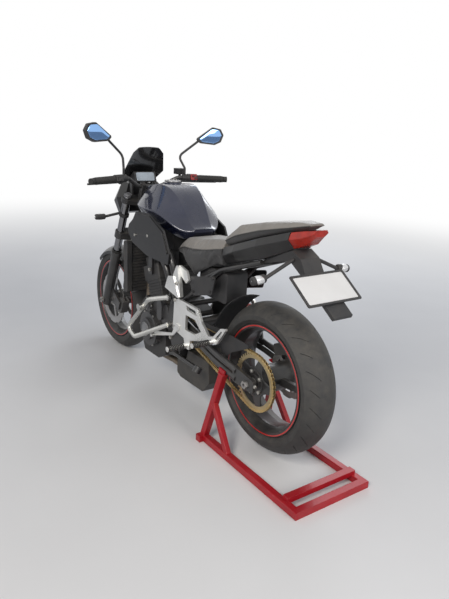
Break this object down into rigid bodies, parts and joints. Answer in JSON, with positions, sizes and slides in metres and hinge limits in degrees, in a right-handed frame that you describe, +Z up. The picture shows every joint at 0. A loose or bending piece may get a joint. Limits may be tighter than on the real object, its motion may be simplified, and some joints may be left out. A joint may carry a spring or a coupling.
{
  "type": "standard motorcycle on a rear paddock stand",
  "caption": "Naked standard motorcycle, upright on a rear paddock stand, with turning wheels, steering and a folding side stand.",
  "frame": {"origin": "on the ground under the middle of the overall length, on the centre plane", "axes": "+X forward, +Y to the rider's left, +Z up"},
  "size_m": [2.1, 0.78, 1.3004],
  "materials": {
    "tyre_rubber": "matte",
    "wheel_black": "satin",
    "disc_steel": "brushed",
    "sprocket_steel": "satin",
    "chain_gold": "satin",
    "axle_steel": "satin",
    "swingarm_black": "satin",
    "frame_black": "gloss",
    "engine_black": "satin",
    "cover_black": "satin",
    "exhaust_steel": "satin",
    "muffler_black": "satin",
    "radiator_black": "satin",
    "tank_blue": "gloss metallic",
    "cover_gloss": "gloss",
    "satin_plastic": "satin",
    "seat_fabric": "textured",
    "tail_black": "satin",
    "lamp_red": "gloss",
    "plate_white": "satin",
    "lens_clear": "gloss",
    "bright_silver": "satin",
    "guard_silver": "satin",
    "spring_red": "gloss",
    "caliper_dark": "satin",
    "fork_black": "satin",
    "fork_chrome": "polished",
    "bar_black": "satin",
    "grip_rubber": "matte",
    "control_black": "satin",
    "mirror_black": "satin",
    "lamp_shell": "gloss",
    "screen_dark": "gloss",
    "stand_red": "gloss"
  },
  "bodies": {
    "chassis": {"chain": "chain_gold", "rear_axle": "axle_steel", "swingarm": "swingarm_black", "axle_plates": "swingarm_black", "frame": "frame_black", "engine": "engine_black", "engine_covers": "cover_black", "exhaust_pipes": "exhaust_steel", "muffler": "muffler_black", "radiator": "radiator_black", "tank": "tank_blue", "tank_covers": "cover_gloss", "airbox": "satin_plastic", "rider_seat": "seat_fabric", "pillion_seat": "seat_fabric", "tail_cowl": "tail_black", "tail_lamp": "lamp_red", "rear_fender": "satin_plastic", "number_plate": "plate_white", "rear_signals": "lens_clear", "pivot_covers": "bright_silver", "footrest_brackets": "bright_silver", "foot_controls": "bright_silver", "crash_bars": "guard_silver", "side_panels": "satin_plastic", "chain_guard": "satin_plastic", "shock_absorber": "caliper_dark", "shock_spring": "spring_red", "rear_caliper": "caliper_dark", "paddock_stand": "stand_red"},
    "steering": {"fork_tubes": "fork_chrome", "fork_sliders": "fork_black", "triple_clamps": "fork_black", "handlebar": "bar_black", "grips": "grip_rubber", "controls": "control_black", "mirrors": "mirror_black", "headlamp": "lamp_shell", "meter": "satin_plastic", "flyscreen": "screen_dark", "front_signals": "lens_clear", "front_fender": "cover_gloss", "front_calipers": "caliper_dark", "front_axle": "axle_steel"},
    "front_wheel": {"front_rim": "wheel_black", "front_tyre": "tyre_rubber", "front_discs": "disc_steel"},
    "rear_wheel": {"rear_rim": "wheel_black", "rear_tyre": "tyre_rubber", "rear_disc": "disc_steel", "rear_sprocket": "sprocket_steel"},
    "side_stand": {"side_stand": "frame_black"}
  },
  "joints": [
    {"name": "steering_turn", "type": "hinge", "parent": "chassis", "child": "steering", "pos_m": [0.72519, 0, 0.28934], "axis": [-0.3947, 0, 0.9188], "range_deg": [-35, 35]},
    {"name": "front_wheel_spin", "type": "hinge", "parent": "steering", "child": "front_wheel", "pos_m": [0.75, 0, 0.3], "axis": [0, 1, 0], "continuous": true},
    {"name": "rear_wheel_spin", "type": "hinge", "parent": "chassis", "child": "rear_wheel", "pos_m": [-0.66, 0, 0.354], "axis": [0, 1, 0], "continuous": true},
    {"name": "side_stand_fold", "type": "hinge", "parent": "chassis", "child": "side_stand", "pos_m": [-0.075, 0.128, 0.27], "axis": [0, -0.8601, -0.5101], "range_deg": [0, 101]}
  ]
}
